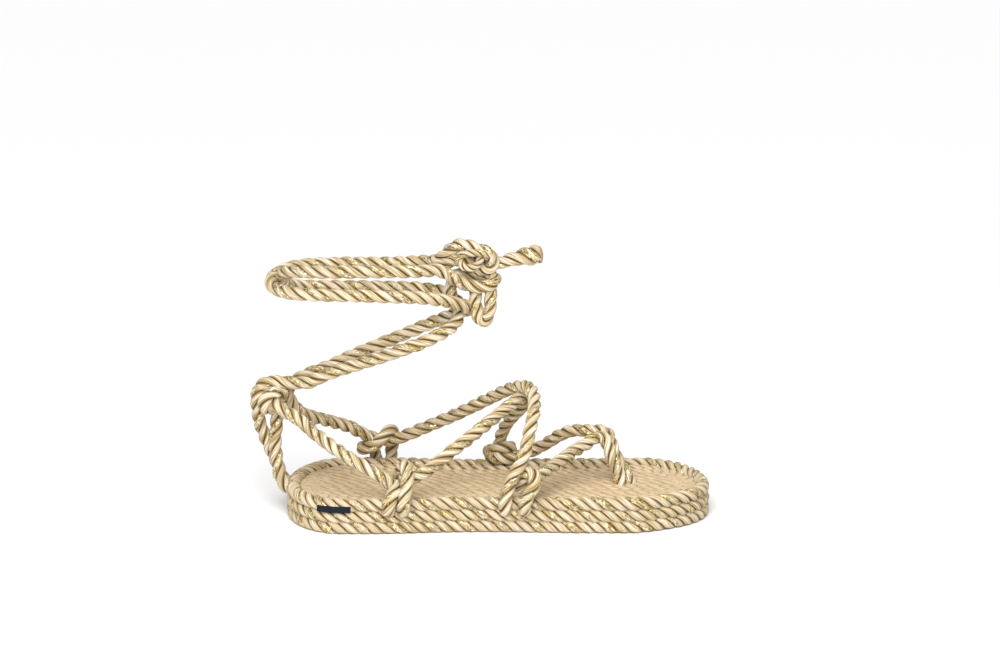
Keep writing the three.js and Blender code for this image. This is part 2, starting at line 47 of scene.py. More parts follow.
# Camera, at the photograph's angle
CAMERA_PLACE = (1.24 * MM, -1733.27 * MM, 506.15 * MM)
CAMERA_TILT = 12.781
CAMERA_LENS = 104.652
CAMERA_SENSOR = 36

# Rope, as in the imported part
ROPE = 7.5 * MM
PRESS = 0.6 * MM
CLEARANCE = 0.3 * MM

# Sole, outside sizes
SOLE_LENGTH = 260 * MM
HEEL_WIDTH = 101.5 * MM
WAIST_WIDTH = 92.5 * MM
BALL_WIDTH = 97.5 * MM
HEEL_CURVE = 33 * MM
TOE_CURVE = 44 * MM
TOE_SKEW = 3.5 * MM
HEEL_STATION = -0.66
WAIST_STATION = -0.08
BALL_STATION = 0.45
RIM_STEP = 0.002
FOOTBED_DROP = 3.6 * MM
PLUG_DEPTH = 3 * MM

# Heights of rope centres above the rim's centre
INSTEP_RISE = 62 * MM
TOE_RISE = 28 * MM
HEEL_RISE = 56 * MM

# Ankle tie, between rope centres
ANKLE_HEIGHT = 148 * MM
ANKLE_LENGTH = 120 * MM
ANKLE_WIDTH = 50 * MM
ANKLE_SETBACK = 78 * MM
KNOT_LEAD = 0.6 * ROPE

# Woven tab in the seam under the rim
TAB_THICKNESS = 0.8 * MM
TAB_FROM = -0.844
TAB_TO = -0.702
TAB_RISE = 2.3 * MM
TAB_SEEN = 3.8 * MM
TAB_LEAN = -0.12
TAB_STEPS = 40
TAB_AROUND = 24
TAB_FLATNESS = 0.35
TAB_ROUNDNESS = 0.6
TAB_WARP = 0.55 * MM
TAB_WEFT = 0.4 * MM
TAB_FUZZ = 2500.0
TAB_DARK = (0.002, 0.003, 0.005, 1)
TAB_LIGHT = (0.012, 0.015, 0.022, 1)
TAB_ROUGHNESS = 0.85
TAB_SPECULAR = 0.25
TAB_BUMP = (0.1 * MM, 0.6)

# Worked out from the sizes above
ROW_PITCH = ROPE - PRESS
ROW_HEIGHT = ROW_PITCH - CLEARANCE
MIDSOLE_TOP = ROW_PITCH + ROW_HEIGHT
MIDSOLE_Z = 1.5 * ROW_PITCH
RIM_Z = MIDSOLE_TOP + CLEARANCE + ROPE / 2
FOOTBED_TOP = RIM_Z + ROPE / 2 - FOOTBED_DROP
RIM_END = (SOLE_LENGTH - ROPE) / 2
BALL_HALF = (BALL_WIDTH - ROPE) / 2

# How the rope is laid: right-handed strands, widths across their crests, lengths of one turn
STRANDS = 3
CRESTS = 8.4 * MM
STRAP_LAY = 24.6 * MM
SOLE_LAY = 21.6 * MM
EYE_CRESTS = 5 * MM
EYE_LAY = 14 * MM

# A strand's section in a rope of diameter 1, and its uneven swelling
STRAND_PLACE = 0.245
STRAND_HEIGHT = 0.255
STRAND_WIDTH = 0.285
LOBE_STEPS = 9
LOBE_SAMPLES = 4000
SWELLING = 0.05
SWELL_LENGTH = 9 * MM
SWELL_WAVES = 6
SHARP_DEG = 50

# How finely a rope's line is drawn
SPAN_STEPS = 16
SHORTEST_SPAN = 1e-4
FEWEST_STEPS = 8
ROPE_STEP = 1.15 * MM
SOFTENING = 14
UPRIGHT = 0.2

# The melted end of the tie
SEAL_LENGTH = 2.5 * MM
FLARE = 0.5
FLARE_PLACE = 5.5 * MM
FLARE_LENGTH = 9 * MM
SEAL_RADIUS = 0.44
SEAL_FUSE = 0.6
END_BULGE = 1.3 * MM
END_RINGS = (0.85, 0.5)

# Rows of the sole
OUTLINE_STEPS = 1440
OUTLINE_STEP = 0.6 * MM
ROW_SLACK = 0.05 * MM
PRESS_PULL = 1.5
SOLE_CRESTS = 8.9 * MM
SOLE_HALF = 3.6 * MM
SOLE_ROWS = 6
SOLE_STAGGER = math.radians(42)
BED_CRESTS = 9.8 * MM
BED_HALF = 2.4 * MM
BED_RINGS = ((7.2 * MM, 2.2 * MM), (14.2 * MM, 1.0 * MM))
BED_RISE_END = 105 * MM
BED_RISE_RAMP = 55 * MM
# Painted groove shade: fainter on the footbed's flat rows, stronger where its rings stand up
BED_SHADE_FAINTER = 0.8
RING_SHADE_STRONGER = 1.5
BED_TUCK = 15.5 * MM
BED_SHORTEST = 40 * MM
BED_SAMPLES = 2001

# The first seed of each set of ropes
LONG_SEED = 1
EYE_SEED = 3
CORD_SEED = 11
STRAP_SEED = 21
SOLE_SEED = 31
BOTTOM_SEED = 40
BED_ROW_SEED = 60
BED_RING_SEED = 70

# Patterns on a strand: cycles in a mm across it and along it, and detail
FIBRE_GRAIN = (6.0, 0.2, 3.0)
STREAK_GRAIN = (1.5, 0.09, 2.0)
CLOUD_GRAIN = (0.3, 0.06, 1.0)
THREAD_GRAIN = (2.1, 0.8, 2.0)
PATCH_GRAIN = 0.13
GLINT_GRAIN = 0.95
PATTERN_SPREAD = 40.0
PATTERN_SHIFT = 1000

# Half a strand's outside and a yarn, in mm, and the yarns' slant
HALF_STRAND = 4.4
YARN_WIDTH = 1.05
YARN_SLANT = 0.12

# Where each pattern starts and where it is full
TONE_RANGE = (0.15, 0.85)
LIGHT_STREAKS = (0.5, 0.66)
DULL_STREAKS = (0.48, 0.32)
DULL_CLOUDS = (0.45, 0.7)
# Painted shade on the strands' flanks: the depths where it starts and where it is full
FLANK_SHADE_DEPTH = (0.02, 0.2)
THREAD_PATCHES = (0.36, 0.5)
THREADS = (0.45, 0.51)
# Cells of the metallic thread painted as glints, and painted dark as unlit facets
LIGHT_GLINTS = (0.56, 0.66)
DARK_GLINTS = (0.38, 0.3)

# Strengths of the patterns, the rope's surface, and each bump's distance and strength
CLOUD_SHARE = 0.4
# How steeply the painted groove shade grows with depth
GROOVE_SHADE_CURVE = 1.5
BURNT_SHARE = 0.5
THREAD_METAL = 0.7
THREAD_ROUGHNESS = 0.28
FIBRE_ROUGHNESS = 0.3
SHEEN_ROUGHNESS = 0.4
ROPE_SPECULAR = 0.12
YARN_RELIEF = 0.2
FIBRE_BUMP = (0.2 * MM, 0.5)
GLINT_BUMP = (0.8 * MM, 0.9)

# Studio
FLOOR_SIZE = 60
FLOOR_GAP = 0.2 * MM
FLOOR_SHADE = (0.9, 0.9, 0.9, 1)
FLOOR_ROUGHNESS = 0.9
SUN_AZIMUTH = -6
SUN_HEIGHT = 56
SUN_STRENGTH = 2.65
SUN_SPREAD = 55
PANEL_PLACE = (-0.03, -0.6, 0.36)
PANEL_AIM = (0, 0, 0.06)
PANEL_SIZE = 0.3
PANEL_POWER = 2.9
WORLD_SHADE = (1, 1, 1, 1)
WORLD_STRENGTH = 0.42


def ease(t):
    return (1 - math.cos(math.pi * t)) / 2


def mix(a, b, t):
    return a + (b - a) * t


def placed(name, data):
    """A new object with this data, in the scene."""
    thing = bpy.data.objects.new(name, data)
    bpy.context.scene.collection.objects.link(thing)
    return thing


def make_camera():
    data = bpy.data.cameras.new("camera")
    data.sensor_width = CAMERA_SENSOR
    data.lens = CAMERA_LENS
    camera = placed("camera", data)
    camera.location = CAMERA_PLACE
    camera.rotation_euler = (math.radians(90 - CAMERA_TILT), 0, 0)
    bpy.context.scene.camera = camera


make_camera()


# Places on the shoe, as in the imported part
def body_half_width(along):
    """Half width between the rim's rope centres, at a share of the half length."""
    heel, waist, ball = ((w - ROPE) / 2 for w in (HEEL_WIDTH, WAIST_WIDTH, BALL_WIDTH))
    if along <= HEEL_STATION:
        return heel
    if along >= BALL_STATION:
        return ball
    if along <= WAIST_STATION:
        return mix(heel, waist, ease((along - HEEL_STATION) / (WAIST_STATION - HEEL_STATION)))
    return mix(waist, ball, ease((along - WAIST_STATION) / (BALL_STATION - WAIST_STATION)))


def rim_half_width(along):
    """Half width with the round heel and toe ends."""
    x = along * RIM_END
    curve = HEEL_CURVE if x < 0 else TOE_CURVE
    t = min(max(0, abs(x) - (RIM_END - curve)) / curve, 1)
    return body_half_width(along) * math.sqrt(1 - t * t)


def rim_middle(along):
    """The toe end leans to the inner side."""
    t = max(0, (along * RIM_END - (RIM_END - TOE_CURVE)) / TOE_CURVE)
    return TOE_SKEW * math.sin(math.pi * min(t, 1))


def rim_point(side, along):
    return np.array([along * RIM_END, rim_middle(along) + side * rim_half_width(along)])


def by_rim(side, along, out, up):
    """Share of the half length, then rope diameters out from the rim and up from its centre."""
    run = rim_point(side, along + RIM_STEP) - rim_point(side, along - RIM_STEP)
    run /= np.linalg.norm(run)
    place = rim_point(side, along) + np.array([-run[1], run[0]]) * side * out * ROPE
    return (place[0], place[1], RIM_Z + up * ROPE)


def over(rise_height, along, across, rise):
    """Shares of the half length, of the ball's half width and of a rise above the rim."""
    return (along * RIM_END, across * BALL_HALF, RIM_Z + rise * rise_height)


def over_instep(along, across, rise):
    return over(INSTEP_RISE, along, across, rise)


def over_toes(along, across, rise):
    return over(TOE_RISE, along, across, rise)


def over_heel(along, across, rise):
    return over(HEEL_RISE, along, across, rise)


def in_heel_knot(x, y, z):
    """Rope diameters from the middle of the heel knot."""
    return tuple(c + ROPE * d for c, d in zip(over_heel(-1.11, 0, 1), (x, y, z)))


def on_ankle(along, across, up):
    """Shares of the ankle ring's half length and half width, and rope diameters up."""
    return (
        along * ANKLE_LENGTH / 2 - ANKLE_SETBACK,
        across * ANKLE_WIDTH / 2,
        ANKLE_HEIGHT + up * ROPE,
    )


def in_ankle_knot(x, y, z):
    """Rope diameters from the middle of the ankle knot."""
    return tuple(c + ROPE * d for c, d in zip(on_ankle(1, 0, 0), (x, y, z)))


def on_tie(way, across, rise):
    """Shares of the way from the heel knot's top up to the ankle ring's front."""
    start, end = in_heel_knot(2.6, 0, 1.45), on_ankle(1, 0, -3)
    return (
        mix(start[0], end[0], way),
        across * ANKLE_WIDTH / 2,
        mix(start[2], end[2], rise),
    )


def by_heel(back, across, up):
    """Rope diameters back from the heel's tip, across, and up from the rim's centre."""
    return (-RIM_END - back * ROPE, across * ROPE, RIM_Z + up * ROPE)


def by_post(along, across, height):
    """Share of the half length, rope diameters across, share of the toe post's height."""
    foot, head = FOOTBED_TOP - PLUG_DEPTH, RIM_Z + TOE_RISE
    return (along * RIM_END, across * ROPE, mix(foot, head, height))


def tucked_leg(side, along):
    """End of a strap leg, tucked under the rim."""
    return [
        by_rim(side, along, 1.06, 0.3),
        by_rim(side, along, 0.92, -0.2),
        by_rim(side, along, 0.5, -0.5),
        by_rim(side, along, 0, -0.6),
    ]


def leg_pair(side, along, apart):
    """Two legs, with the rope diameters between them."""
    half = apart * ROPE / 2 / RIM_END
    return tucked_leg(side, along - half), tucked_leg(side, along + half)


def heel_leg(across):
    return [
        by_heel(1.12, across, 0.75),
        by_heel(0.72, across, 0.02),
        by_heel(0.1, across, -0.42),
        by_heel(-0.55, across, -0.55),
    ]


def carry_on(before, after):
    """The points that follow another route's end."""
    last, end = (np.array(p) for p in before[-2:])
    ahead = (end - last) / np.linalg.norm(end - last)
    return [tuple(end + ahead * KNOT_LEAD), *after]


fore_left, fore_right = leg_pair(NEAR, 0.082, 1.55)
middle_left, middle_right = leg_pair(NEAR, -0.49, 1.18)
far_fore_left, far_fore_right = leg_pair(FAR, 0.005, 1.35)
far_middle_left, far_middle_right = leg_pair(FAR, -0.578, 1.1)

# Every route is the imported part's own. The free cords come first
hanging_loop = [
    in_ankle_knot(0.66, -0.4, -0.6),
    in_ankle_knot(0.54, -0.52, -1.2),
    in_ankle_knot(0.57, -0.65, -1.9),
    in_ankle_knot(0.66, -0.8, -2.6),
    in_ankle_knot(0.84, -0.92, -3.25),
    in_ankle_knot(1.18, -0.92, -3.66),
    in_ankle_knot(1.52, -0.82, -3.25),
    in_ankle_knot(1.72, -0.68, -2.6),
    in_ankle_knot(1.81, -0.6, -1.9),
    in_ankle_knot(1.82, -0.52, -1.2),
    in_ankle_knot(1.7, -0.4, -0.6),
]

# The free end starts inside the knot
tie_end = [
    in_ankle_knot(-0.1, 0.25, 1.75),
    in_ankle_knot(0.7, 0.3, 1.3),
    in_ankle_knot(1.5, 0.35, 0.9),
    in_ankle_knot(2.35, 0.1, 1.15),
    in_ankle_knot(3.2, -0.05, 1.4),
    in_ankle_knot(4.2, -0.15, 1.68),
    in_ankle_knot(5.1, -0.2, 1.86),
    in_ankle_knot(5.9, -0.25, 1.94),
]

# Toe post: two twisted legs that go down through the footbed
post_legs = [
    [
        by_post(0.606, 0.0, 0),
        by_post(0.6, 0.0, 0.17),
        by_post(0.584, 0.15, 0.38),
        by_post(0.558, 0.45, 0.62),
        by_post(0.538, 0.85, 0.84),
    ],
    [
        by_post(0.652, 0.35, 0),
        by_post(0.645, 0.45, 0.17),
        by_post(0.61, 0.85, 0.38),
        by_post(0.576, 1.15, 0.62),
        by_post(0.556, 1.35, 0.84),
    ],
]

# Straps over the toes: each goes from the post's head to one side of the rim
near_thong = [
    *post_legs[0],
    by_post(0.522, 1.15, 0.985),
    over_toes(0.487, 0.22, 1),
    over_toes(0.45, 0.1, 0.92),
    over_toes(0.4, 0, 0.83),
    over_toes(0.35, -0.18, 0.77),
    over_toes(0.3, -0.38, 0.68),
    over_toes(0.25, -0.56, 0.62),
    by_rim(NEAR, 0.2, -1.1, 2.1),
    by_rim(NEAR, 0.178, -0.35, 1.95),
    by_rim(NEAR, 0.162, 0.4, 1.8),
]

far_thong = [
    *post_legs[1],
    by_post(0.545, 1.75, 1.03),
    over_toes(0.505, 0.38, 1.06),
    over_toes(0.455, 0.44, 1.03),
    over_toes(0.405, 0.53, 1.01),
    over_toes(0.357, 0.62, 0.95),
    over_toes(0.308, 0.71, 0.82),
    over_toes(0.259, 0.8, 0.64),
    by_rim(FAR, 0.2, -0.4, 1.6),
    by_rim(FAR, 0.13, -0.5, 1.15),
    by_rim(FAR, 0.07, -0.85, 0.9),
    by_rim(FAR, 0.015, -0.95, 0.85),
    by_rim(FAR, -0.032, -0.75, 1.1),
    by_rim(FAR, -0.05, -0.15, 1.35),
    by_rim(FAR, -0.035, 0.72, 1.2),
    *far_fore_left,
]

# Rope that wraps the far front knot and then runs down outside the rim
far_fore_wrap = [
    by_rim(FAR, -0.035, -0.2, 1.15),
    by_rim(FAR, -0.025, -0.7, 1.6),
    by_rim(FAR, 0.012, -0.92, 1.9),
    by_rim(FAR, 0.05, -0.8, 1.8),
    by_rim(FAR, 0.068, -0.25, 1.6),
    by_rim(FAR, 0.058, 0.45, 1.55),
    by_rim(FAR, 0.045, 0.95, 1.15),
    *far_fore_right,
]

# Instep rope that lies on top where the two cross
upper_instep = [
    *fore_left[::-1],
    by_rim(NEAR, 0.04, 1.06, 0.9),
    by_rim(NEAR, 0.052, 0.98, 1.5),
    by_rim(NEAR, 0.072, 0.72, 2.35),
    by_rim(NEAR, 0.104, 0.42, 3.2),
    over_instep(0.132, -0.96, 0.53),
    over_instep(0.153, -0.84, 0.72),
    over_instep(0.172, -0.68, 0.85),
    over_instep(0.176, -0.44, 0.95),
    over_instep(0.156, -0.18, 1.01),
    over_instep(0.117, 0.1, 0.985),
    over_instep(0.06, 0.27, 0.93),
    over_instep(-0.04, 0.51, 0.79),
    over_instep(-0.14, 0.71, 0.65),
    over_instep(-0.24, 0.845, 0.53),
    over_instep(-0.34, 0.93, 0.43),
    over_instep(-0.44, 0.975, 0.33),
    by_rim(FAR, -0.53, -0.1, 2.15),
    by_rim(FAR, -0.59, -0.15, 2.1),
    by_rim(FAR, -0.64, -0.35, 2.45),
    over_heel(-0.69, 0.91, 0.4),
    over_heel(-0.738, 0.82, 0.48),
    over_heel(-0.83, 0.62, 0.585),
    over_heel(-0.92, 0.38, 0.69),
    over_heel(-0.97, 0.22, 0.77),
    in_heel_knot(1.8, 0.85, -0.95),
    in_heel_knot(1.45, 0.55, -0.2),
    in_heel_knot(1.25, 0, 0.45),
    in_heel_knot(0.8, -0.65, 0.65),
    in_heel_knot(0.15, -1.05, 0.55),
    in_heel_knot(-0.35, -1.15, 0.05),
    in_heel_knot(-0.45, -1.05, -0.6),
    in_heel_knot(-0.15, -0.5, -1.05),
    in_heel_knot(0.3, 0.15, -0.95),
    in_heel_knot(0.4, 0.3, -0.2),
]

# Instep rope that lies underneath
lower_instep = [
    by_rim(NEAR, -0.47, -0.35, 1.85),
    by_rim(NEAR, -0.42, -0.45, 1.95),
    over_instep(-0.326, -0.84, 0.32),
    over_instep(-0.23, -0.69, 0.46),
    over_instep(-0.135, -0.49, 0.573),
    over_instep(-0.04, -0.24, 0.69),
    over_instep(0.058, 0, 0.807),
    over_instep(0.108, 0.11, 0.868),
    over_instep(0.138, 0.24, 0.83),
    over_instep(0.125, 0.38, 0.735),
    over_instep(0.084, 0.53, 0.626),
    over_instep(0.035, 0.755, 0.45),
    over_instep(0.01, 0.87, 0.3),
    by_rim(FAR, 0, -0.15, 1.3),
]

# Short wrap that holds the toe strap at the near side
fore_wrap = [
    by_rim(NEAR, 0.1, -0.5, 1.1),
    by_rim(NEAR, 0.112, -0.2, 1.75),
    by_rim(NEAR, 0.13, 0.15, 2.4),
    by_rim(NEAR, 0.152, 0.5, 2.8),
    by_rim(NEAR, 0.176, 0.85, 2.7),
    by_rim(NEAR, 0.184, 1.1, 2.15),
    by_rim(NEAR, 0.168, 1.14, 1.5),
    by_rim(NEAR, 0.144, 1.1, 0.85),
    *fore_right,
]

# Short wrap that holds the side straps at the near side
middle_wrap = [
    by_rim(NEAR, -0.472, -1.45, 0.85),
    by_rim(NEAR, -0.47, -1.55, 1.7),
    by_rim(NEAR, -0.458, -1.3, 2.6),
    by_rim(NEAR, -0.44, -0.6, 3.12),
    by_rim(NEAR, -0.432, 0.15, 2.95),
    by_rim(NEAR, -0.432, 0.62, 2.3),
    by_rim(NEAR, -0.44, 0.88, 1.5),
    by_rim(NEAR, -0.45, 1.04, 0.85),
    *middle_right,
]

# Hitch over the straps at the far side, with a bight to the heel
far_middle_hitch = [
    *far_middle_right[::-1],
    by_rim(FAR, -0.54, 1.06, 1.0),
    by_rim(FAR, -0.53, 0.85, 2.1),
    by_rim(FAR, -0.532, 0.1, 3.02),
    by_rim(FAR, -0.562, -0.7, 2.75),
    by_rim(FAR, -0.605, -0.98, 2.0),
    by_rim(FAR, -0.655, -0.75, 1.55),
    by_rim(FAR, -0.69, -0.2, 1.42),
    by_rim(FAR, -0.67, 0.5, 1.35),
    by_rim(FAR, -0.63, 1.0, 0.95),
    *far_middle_left,
]

# Near side strap from the heel knot, turned down at the rim
near_heel_strap = [
    in_heel_knot(0.1, -0.1, 0.4),
    in_heel_knot(0.25, -0.5, -0.1),
    in_heel_knot(0.6, -0.85, -0.65),
    in_heel_knot(1.25, -1.05, -1.0),
    over_heel(-0.958, -0.3, 0.79),
    over_heel(-0.907, -0.42, 0.71),
    over_heel(-0.807, -0.64, 0.58),
    over_heel(-0.708, -0.82, 0.47),
    over_heel(-0.611, -0.91, 0.36),
    over_heel(-0.548, -0.94, 0.28),
    by_rim(NEAR, -0.495, -0.1, 1.5),
    by_rim(NEAR, -0.482, 0.55, 1.4),
    by_rim(NEAR, -0.505, 0.98, 1.15),
    *middle_left,
]

# Risers from the heel seam, through the knot and on to the ankle
inner_riser = [
    *heel_leg(-0.5)[::-1],
    by_heel(1.28, -0.35, 1.6),
    by_heel(1.42, -0.2, 2.7),
    by_heel(1.5, -0.05, 3.9),
    by_heel(1.3, 0.1, 5.4),
    in_heel_knot(0.65, 0.45, -0.9),
    in_heel_knot(1.3, 0.6, 0.1),
    in_heel_knot(1.8, 0.55, 1.05),
    in_heel_knot(2.6, 0.48, 1.5),
]

outer_riser = [
    *heel_leg(0.62)[::-1],
    by_heel(1.4, 0.65, 1.6),
    by_heel(1.95, 0.6, 2.9),
    by_heel(2.4, 0.45, 4.1),
    by_heel(2.8, 0.15, 5.4),
    in_heel_knot(-1.0, -0.15, -1.1),
    in_heel_knot(-1.1, -0.35, -0.1),
    in_heel_knot(-0.92, -0.5, 0.75),
    in_heel_knot(-0.4, -0.6, 1.25),
    in_heel_knot(0.35, -0.62, 1.42),
    in_heel_knot(1.3, -0.58, 1.28),
    in_heel_knot(2.6, -0.52, 1.25),
]

# The rope from the far tie turns round the front and back along the near side
far_tie = carry_on(inner_riser, [
    on_tie(0.14, 0.2, 0.14),
    on_tie(0.32, 0.34, 0.33),
    on_tie(0.5, 0.56, 0.49),
    on_tie(0.62, 0.66, 0.6),
    on_tie(0.74, 0.68, 0.73),
    on_tie(0.86, 0.48, 0.88),
    on_tie(0.95, 0.26, 1.0),
    on_ankle(1.005, 0.02, -2.72),
    on_ankle(0.985, -0.2, -2.28),
    on_ankle(0.87, -0.4, -1.85),
    on_ankle(0.72, -0.62, -1.45),
    on_ankle(0.47, -0.88, -1.05),
    on_ankle(0.1, -1, -0.85),
    on_ankle(-0.3, -1.03, -0.75),
    on_ankle(-0.66, -0.94, -0.73),
    on_ankle(-0.84, -0.74, -0.7),
    on_ankle(-0.96, -0.42, -0.58),
    on_ankle(-1, -0.02, -0.3),
    on_ankle(-0.965, 0.38, 0.05),
    on_ankle(-0.85, 0.72, 0.3),
    on_ankle(-0.66, 0.94, 0.42),
    on_ankle(-0.3, 1.03, 0.47),
    on_ankle(0.1, 1, 0.5),
    on_ankle(0.42, 0.84, 0.72),
    on_ankle(0.58, 0.66, 0.9),
])

# The rope from the near tie crosses inside it and goes round the other way
near_tie = carry_on(outer_riser, [
    on_tie(0.15, -0.24, 0.1),
    on_tie(0.32, -0.36, 0.26),
    on_tie(0.5, -0.58, 0.43),
    on_tie(0.62, -0.68, 0.55),
    on_tie(0.74, -0.68, 0.66),
    on_tie(0.86, -0.42, 0.78),
    on_tie(0.93, -0.08, 0.88),
    on_ankle(0.915, 0.22, -2.65),
    on_ankle(0.87, 0.4, -2.05),
    on_ankle(0.72, 0.62, -1.6),
    on_ankle(0.47, 0.88, -1.5),
    on_ankle(0.1, 1, -1.5),
    on_ankle(-0.3, 1.03, -1.48),
    on_ankle(-0.6, 0.9, -1.38),
    on_ankle(-0.77, 0.64, -1.15),
    on_ankle(-0.865, 0.32, -0.62),
    on_ankle(-0.89, -0.04, 0.1),
    on_ankle(-0.845, -0.42, 0.72),
    on_ankle(-0.72, -0.74, 1.0),
    on_ankle(-0.5, -0.97, 1.1),
    on_ankle(-0.15, -1.03, 1.15),
    on_ankle(0.2, -0.98, 1.15),
    on_ankle(0.5, -0.76, 1.0),
    on_ankle(0.63, -0.58, 0.98),
])

# Over the top of the ankle knot, down its toe side and back through the middle
knot_arch = carry_on(far_tie, [
    in_ankle_knot(-2.35, 0.8, 1.3),
    in_ankle_knot(-1.75, 0.35, 1.95),
    in_ankle_knot(-1.1, -0.05, 2.6),
    in_ankle_knot(-0.5, -0.35, 2.83),
    in_ankle_knot(0.1, -0.5, 2.68),
    in_ankle_knot(0.7, -0.55, 2.4),
    in_ankle_knot(1.35, -0.6, 2.32),
    in_ankle_knot(1.92, -0.55, 1.9),
    in_ankle_knot(2.05, -0.4, 1.2),
    in_ankle_knot(1.6, -0.3, 0.6),
    in_ankle_knot(0.85, -0.35, 0.8),
    in_ankle_knot(0.1, -0.45, 1.2),
    in_ankle_knot(-0.55, -0.4, 1.5),
    in_ankle_knot(-1.15, -0.2, 1.6),
    in_ankle_knot(-1.7, 0.1, 1.25),
    in_ankle_knot(-2.1, 0.4, 0.85),
])

# Down across the front, turned back at the toe side
knot_bend = carry_on(near_tie, [
    in_ankle_knot(-1.95, -1.35, 0.7),
    in_ankle_knot(-1.2, -1.1, 0.15),
    in_ankle_knot(-0.42, -0.98, -0.32),
    in_ankle_knot(0.46, -1.0, -0.55),
    in_ankle_knot(1.4, -0.95, -0.58),
    in_ankle_knot(2.1, -0.7, -0.32),
    in_ankle_knot(2.25, -0.25, 0.05),
    in_ankle_knot(1.85, 0.15, 0.25),
    in_ankle_knot(0.95, 0.3, 0.1),
    in_ankle_knot(-0.1, 0.25, 0.25),
    in_ankle_knot(-0.95, 0.25, 0.3),
    in_ankle_knot(-1.4, 0.3, -0.3),
    in_ankle_knot(-1.45, 0.3, -1.0),
    in_ankle_knot(-1.4, 0.2, -1.7),
])

# A small eye that faces outwards
knot_eye = [
    in_ankle_knot(1.85, -0.75, 1.9),
    in_ankle_knot(1.25, -1.05, 2.2),
    in_ankle_knot(0.5, -1.25, 2.3),
    in_ankle_knot(-0.3, -1.3, 2.25),
    in_ankle_knot(-0.8, -1.33, 1.95),
    in_ankle_knot(-0.82, -1.36, 1.5),
    in_ankle_knot(-0.45, -1.4, 1.12),
    in_ankle_knot(0.15, -1.4, 1.0),
    in_ankle_knot(0.7, -1.3, 1.15),
    in_ankle_knot(1.02, -1.1, 1.5),
    in_ankle_knot(1.0, -0.75, 1.85),
]


# Lines through the points
def evenly(line, step, closed=False):
    """The line again, with points about a step apart."""
    if closed:
        line = np.vstack([line, line[:1]])
    run = np.linalg.norm(np.diff(line, axis=0), axis=1)
    along = np.concatenate([[0], np.cumsum(run)])
    count = max(FEWEST_STEPS, round(along[-1] / step))
    at = np.linspace(0, along[-1], count + 1)
    if closed:
        at = at[:-1]
    return np.stack([np.interp(at, along, line[:, k]) for k in range(3)], axis=1)


def curve_through(points):
    """A centripetal Catmull-Rom line through the points."""
    p = np.array(points, float)
    p = np.vstack([2 * p[0] - p[1], p, 2 * p[-1] - p[-2]])
    t = np.linspace(0, 1, SPAN_STEPS, endpoint=False)[:, None]
    line = []
    for a, b, c, d in zip(p, p[1:], p[2:], p[3:]):
        before, here, after = (
            max(math.sqrt(np.linalg.norm(v)), SHORTEST_SPAN) for v in (b - a, c - b, d - c)
        )
        out = (b - a) / before - (c - a) / (before + here) + (c - b) / here
        into = (c - b) / here - (d - b) / (here + after) + (d - c) / after
        out, into = out * here, into * here
        line.append(
            b
            + out * t
            + (3 * (c - b) - 2 * out - into) * t**2
            + (2 * (b - c) + out + into) * t**3
        )
    return np.vstack([*line, p[-2][None]])


def softened(line, times):
    """The line with its small kinks worn away, its ends held."""
    line = line.copy()
    for _ in range(times):
        line[1:-1] += (line[:-2] + line[2:] - 2 * line[1:-1]) / 4
    return line


def directions(line, closed):
    if closed:
        ahead = np.roll(line, -1, axis=0) - np.roll(line, 1, axis=0)
    else:
        ahead = np.gradient(line, axis=0)
    return ahead / np.linalg.norm(ahead, axis=1)[:, None]


def carried_frames(line, closed):
    """Two directions across the line at each point, which turn no more than the line does."""
    ahead = directions(line, closed)
    first = np.cross(ahead[0], (0, 0, 1))
    if np.linalg.norm(first) < UPRIGHT:
        first = np.cross(ahead[0], (0, 1, 0))
    side = [first / np.linalg.norm(first)]
    for i in range(1, len(line)):
        v = side[-1] - ahead[i] * (side[-1] @ ahead[i])
        side.append(v / np.linalg.norm(v))
    side = np.array(side)
    if closed:
        v = side[-1] - ahead[0] * (side[-1] @ ahead[0])
        up = np.cross(ahead[0], side[0])
        left = math.atan2(v @ up, v @ side[0])
        turn = -left * np.arange(len(line))[:, None] / len(line)
        side = side * np.cos(turn) + np.cross(ahead, side) * np.sin(turn)
    return side, np.cross(ahead, side)


# Laid rope
def lobe_section():
    """One strand's outside in a rope of diameter 1: places, and shares across the strand."""
    turns = np.linspace(0, math.pi, LOBE_SAMPLES)
    x = STRAND_PLACE + STRAND_HEIGHT * np.cos(turns)
    y = STRAND_WIDTH * np.sin(turns)
    meets = turns[np.argmax(y > math.tan(math.pi / STRANDS) * x)]
    at = np.linspace(-meets, meets, LOBE_STEPS)
    return STRAND_PLACE + STRAND_HEIGHT * np.cos(at), STRAND_WIDTH * np.sin(at), at / meets


